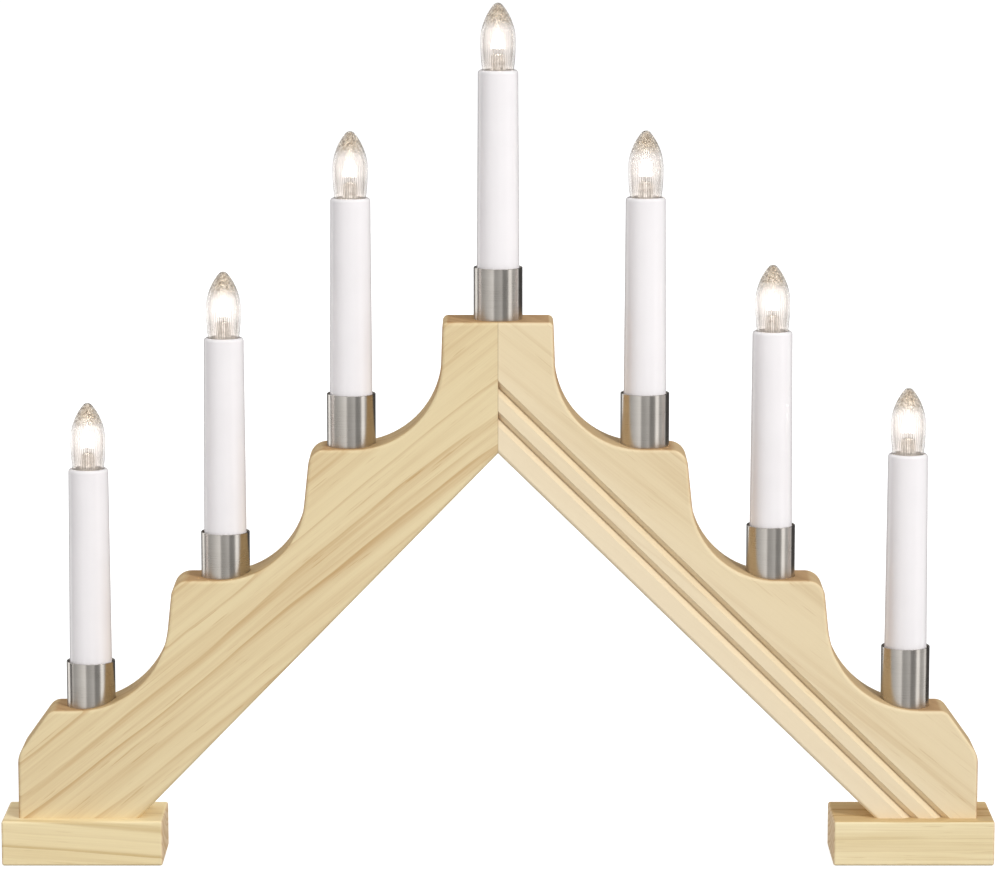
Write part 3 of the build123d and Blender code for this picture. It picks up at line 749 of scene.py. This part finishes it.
def bulbMount(k, look):
    # glass stem, two leads that spread, and a coiled wire bent into a hoop between their ends
    x, y, low, *_ = middleOf(f"bulb_{k}_filament")
    rim = rimOf(k)
    foot, stemTop, spread, leadTop = low - rim, look["stemTop"], look["spread"], look["leadTop"]
    waist = foot * 0.6
    z = np.concatenate([[foot, foot], np.linspace(waist, stemTop, 12), [stemTop]])
    share = np.clip((z - waist) / (stemTop - waist), 0, 1)
    r = look["stemFootRadius"] + (look["stemTopRadius"] - look["stemFootRadius"]) * share ** 1.4
    r *= np.sqrt(1 - 0.75 * np.clip((share - 0.7) / 0.3, 0, 1) ** 2)
    r[0] = r[-1] = look["stemHole"]
    stem = turnedPoints((0, 0, 0), r[:, None], roundTurn(look["stemColumns"]), z[:, None])
    parts = [(stem.reshape(-1, 3), [gridFaces(len(z), look["stemColumns"], True)])]
    for side in (-1, 1):
        reach = side * np.array([look["leadFoot"], look["leadFoot"] * 1.2, spread * 0.8, spread])
        path = np.stack([reach, 0 * reach, [0, stemTop, leadTop * 0.8, leadTop]], -1)
        parts.append(tube(path, look["leadRadius"], 10))
    t = np.linspace(0, 1, look["coilTurns"] * 10)
    bend = np.pi * t
    line = np.stack([-spread * np.cos(bend), 0 * t, leadTop + look["hoopRise"] * np.sin(bend)], -1)
    out = np.stack([-np.cos(bend), 0 * t, np.sin(bend)], -1)
    spin = (fullTurn * look["coilTurns"] * t)[:, None]
    coil = line + look["coilRadius"] * (np.cos(spin) * out + np.sin(spin) * np.array([0.0, 1.0, 0.0]))
    parts.append(tube(coil, look["wireRadius"], 6))
    points, faces, kinds, start = [], [], [], 0
    for (cloud, blocks), kind in zip(parts, (0, 1, 1, 2)):  # stem, two leads, wire
        points.append(cloud + np.array([x, y, rim]))
        for block in blocks:
            faces += (block + start).tolist()
            kinds += [kind] * len(block)
        start += len(cloud)
    mesh = bpy.data.meshes.new(f"bulbMount{k}")
    mesh.from_pydata(np.concatenate(points).tolist(), [], faces)
    for finish in ("stemGlass", "leadWire", "hotWire"):
        mesh.materials.append(finishes[finish])
    mesh.polygons.foreach_set("material_index", np.array(kinds, np.int32))
    addPiece(f"bulbMount{k}", mesh, f"bulb_{k}", f"bulb_{k}_filament", 50)


for k in candles:
    bulbGlassPiece(k, bulbLook)
    bulbCap(k, capLook)
    bulbMount(k, mountLook)
    smoothCopy(f"bulb_{k}_contact", f"bulbContact{k}", f"bulb_{k}_tip", "tipSolder")
print("flame bulbs made")


# studio: white floor, soft lamps, and light and dark bands round the room for the metal

studioLook = {"ambient": 0.585, "bandGain": 1.27, "floorShade": 0.5, "floorLift": 0.76, "floorReach": 40.0}
lampLook = [
    {"name": "keyLamp", "at": (2.0, -2.2, 2.15), "to": (0, 0, 0.2), "size": 1.05, "watts": 64.0},
    {"name": "fillLamp", "at": (-1.3, -1.3, 0.8), "to": (0, 0, 0.2), "size": 0.9, "watts": 4.5},
    {"name": "backLamp", "at": (-0.9, 2.5, 1.3), "to": (0, 0, 0.2), "size": 1.2, "watts": 22.0},
]
# share of the way round, from behind by the left, with the front at 0.5, to behind by the right; brightness
roomBands = [
    (0.0, 0.12), (0.115, 0.2), (0.125, 1.0), (0.175, 1.0), (0.185, 0.07), (0.225, 0.08), (0.24, 0.85),
    (0.255, 0.36), (0.3, 0.4), (0.35, 0.53), (0.438, 0.8), (0.452, 0.32), (0.5, 0.39), (0.552, 0.52),
    (0.566, 0.22), (0.632, 0.22), (0.648, 1.0), (0.684, 1.0), (0.7, 0.38), (0.765, 0.46), (0.785, 0.95),
    (0.805, 0.85), (0.815, 0.05), (1.0, 0.08),
]
# what shows through glass, by the same shares
backLight = [(0.0, 1.0), (0.3, 1.0), (0.36, 0.1), (0.64, 0.1), (0.7, 1.0), (1.0, 1.0)]


def makeWorld(look, bands, behind):
    world = bpy.data.worlds.new("studio")
    scene.world = world
    world.use_nodes = True
    tree = world.node_tree
    start = Sock(tree)
    toward = start.node("ShaderNodeTexCoord", output="Generated")
    angle = start.maths("ARCTAN2", dot(toward, (1, 0, 0)), dot(toward, (0, -1, 0)))
    share = angle / fullTurn + 0.5
    path = lambda ray: start.node("ShaderNodeLightPath", output=ray)
    ring = lambda levels: start.node(
        "ShaderNodeValToRGB", {"stops": [(place, grey(level)) for place, level in levels]}, {0: share})
    room = blendColour(1.0, ring(bands), grey(look["bandGain"]), "MULTIPLY")
    colour = blendColour(path("Is Glossy Ray"), grey(look["ambient"]), room)
    colour = blendColour(path("Is Transmission Ray"), colour, ring(behind))
    colour = blendColour(path("Is Camera Ray"), colour, grey(1.0))
    tree.links.new(colour.out, tree.nodes["Background"].inputs["Color"])


def makeFloor(look):
    # a square about the origin, lifted to white for the eye and for glass
    corners = look["floorReach"] * np.array([[-1, -1, 0], [1, -1, 0], [1, 1, 0], [-1, 1, 0]])
    mesh = bpy.data.meshes.new("floor")
    mesh.from_pydata(corners.tolist(), [], [[0, 1, 2, 3]])
    material, place, shader = newFinish("floorWhite")
    seen = place.node("ShaderNodeLightPath", output="Is Camera Ray")
    through = place.node("ShaderNodeLightPath", output="Is Transmission Ray")
    lift = blendColour(seen.maths("MAXIMUM", seen, through), grey(0), grey(look["floorLift"]))
    feed(
        shader, BaseColor=grey(look["floorShade"]), Roughness=0.9, SpecularIORLevel=0.0,
        EmissionColor=lift, EmissionStrength=1.0,
    )
    mesh.materials.append(material)
    floor = bpy.data.objects.new("floor", mesh)
    floor.visible_glossy = False
    scene.collection.objects.link(floor)


def makeLamp(look):
    data = bpy.data.lights.new(look["name"], "AREA")
    data.shape = "DISK"
    data.size = look["size"]
    data.energy = look["watts"]
    lamp = bpy.data.objects.new(look["name"], data)
    x, y, z = np.array(look["at"]) - np.array(look["to"])
    lamp.location = look["at"]
    lamp.rotation_euler = (math.atan2(math.hypot(x, y), z), 0, math.atan2(x, -y))
    lamp.visible_glossy = False
    lamp.visible_transmission = False
    scene.collection.objects.link(lamp)


makeWorld(studioLook, roomBands, backLight)
makeFloor(studioLook)
for look in lampLook:
    makeLamp(look)
print("studio lit")
